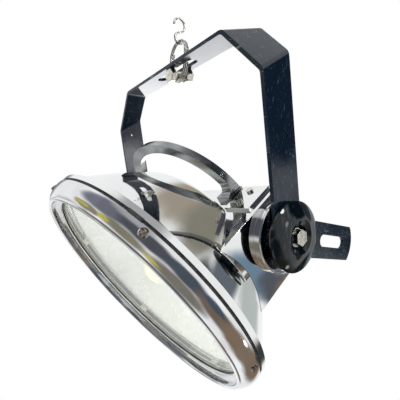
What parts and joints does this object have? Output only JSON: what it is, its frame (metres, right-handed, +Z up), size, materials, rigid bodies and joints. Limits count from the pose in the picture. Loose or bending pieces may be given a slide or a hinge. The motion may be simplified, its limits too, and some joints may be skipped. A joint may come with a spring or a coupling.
{
  "type": "hanging yoke lamp head",
  "caption": "Round lamp head with a bow handle, tilting in a flat-bar yoke that hangs from an S-hook by a wire sling.",
  "frame": {"origin": "seat inside the top of the S-hook's upper bend, where the ceiling fitting carries the lamp", "axes": "+Z up, against gravity; +X along the head's tilting axis, towards the slotted bar; -Y towards the side that the lamp shines to"},
  "size_m": [0.4104, 0.3878, 0.595],
  "materials": {
    "hook_wire": "drawn wire, dull",
    "plated_steel": "zinc plated",
    "black_paint": "gloss",
    "polished_aluminium": "mirror polished",
    "cast_aluminium": "polished casting",
    "gasket_rubber": "matt",
    "friction_lining": "matt fibre",
    "front_glass": "clear, slightly hazed",
    "bulb_glass": "frosted",
    "reflector_mirror": "silvered",
    "porcelain": "white glaze",
    "brass": "turned",
    "terminal_plastic": "matt"
  },
  "bodies": {
    "hook": {"s_hook": "hook_wire"},
    "sling": {"wire_sling": "hook_wire"},
    "yoke_frame": {"yoke": "black_paint", "cross_bolt": "plated_steel", "cross_washers": "plated_steel", "cross_nut": "plated_steel"},
    "bar": {"slotted_bar": "black_paint"},
    "lamp_head": {"pivot_washers": "plated_steel", "pivot_bolts": "plated_steel", "pivot_nuts": "plated_steel", "bezel_screws": "plated_steel", "snap_ring": "plated_steel", "holder_bracket": "plated_steel", "bracket_screws": "plated_steel", "end_screws": "plated_steel", "handle_screws": "plated_steel", "rear_screws": "plated_steel", "earth_screw": "plated_steel", "bezel_lugs": "plated_steel", "pivot_disc_right": "black_paint", "pivot_disc_left": "black_paint", "dish": "polished_aluminium", "bezel": "polished_aluminium", "cradle": "polished_aluminium", "rear_cover": "polished_aluminium", "end_casting_right": "cast_aluminium", "end_casting_left": "cast_aluminium", "handle": "cast_aluminium", "seam_gasket": "gasket_rubber", "glass_gasket": "gasket_rubber", "friction_washers": "friction_lining", "glass": "front_glass", "bulb": "bulb_glass", "reflector": "reflector_mirror", "lamp_holder": "porcelain", "bulb_cap": "brass", "cable_gland": "brass", "gland_nut": "brass", "gland_locknut": "brass", "terminal_block": "terminal_plastic"}
  },
  "joints": [
    {"name": "sling_swing", "type": "hinge", "parent": "hook", "child": "sling", "pos_m": [0, 0, -0.0285], "axis": [1, 0, 0], "range_deg": [-12, 12]},
    {"name": "yoke_rock", "type": "hinge", "parent": "sling", "child": "yoke_frame", "pos_m": [0, 0, -0.08692], "axis": [0, 0.9854, 0.1702], "range_deg": [-8, 8]},
    {"name": "head_tilt", "type": "hinge", "parent": "yoke_frame", "child": "lamp_head", "pos_m": [-0.008, 0.04511, -0.33324], "axis": [1, 0, 0], "range_deg": [-55, 52]},
    {"name": "bar_swing", "type": "hinge", "parent": "yoke_frame", "child": "bar", "pos_m": [-0.008, 0.04511, -0.33324], "axis": [1, 0, 0], "range_deg": [-30, 105]}
  ]
}
